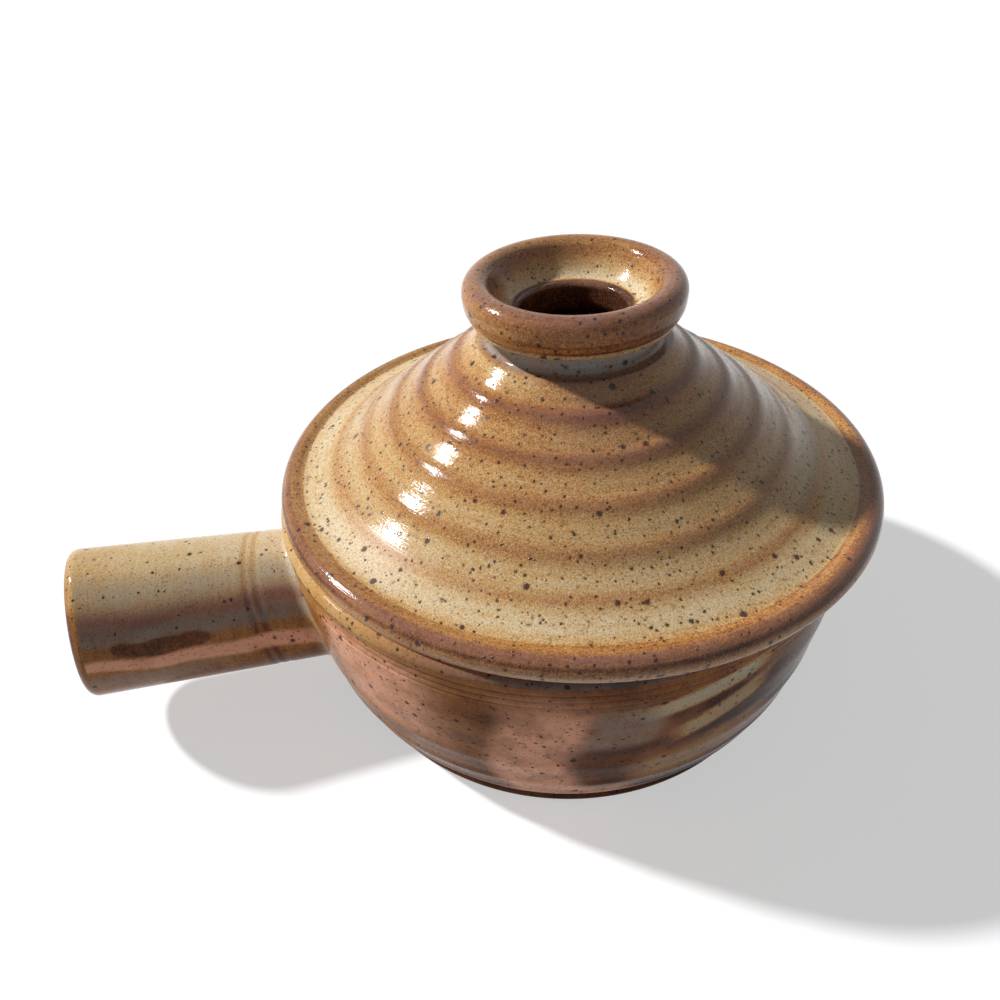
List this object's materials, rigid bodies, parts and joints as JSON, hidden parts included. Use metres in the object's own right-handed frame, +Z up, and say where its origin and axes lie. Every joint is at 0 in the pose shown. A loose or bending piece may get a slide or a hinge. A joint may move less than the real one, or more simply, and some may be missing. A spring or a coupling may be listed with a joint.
{
  "type": "stoneware microwave cooker",
  "caption": "Hand-thrown stoneware cooker: a round bowl with a hollow stick handle, under a conical lid whose open, flared knob lets the steam out.",
  "frame": {"origin": "on the bowl's axis at the flat underside of its foot", "axes": "+Z up along the bowl's axis, the handle points along -X, +Y to the left of someone who looks along +X"},
  "size_m": [0.2245, 0.16, 0.1155],
  "materials": {
    "bowl_glaze": "glossy amber-brown reduction glaze with iron speckles, cream on the top of the handle and rust where it breaks over edges",
    "lid_glaze": "glossy golden-cream reduction glaze with iron speckles, rust on the throwing rings, the knob and the edge"
  },
  "bodies": {
    "root": {"bowl": "bowl_glaze", "lid": "lid_glaze"}
  },
  "joints": []
}
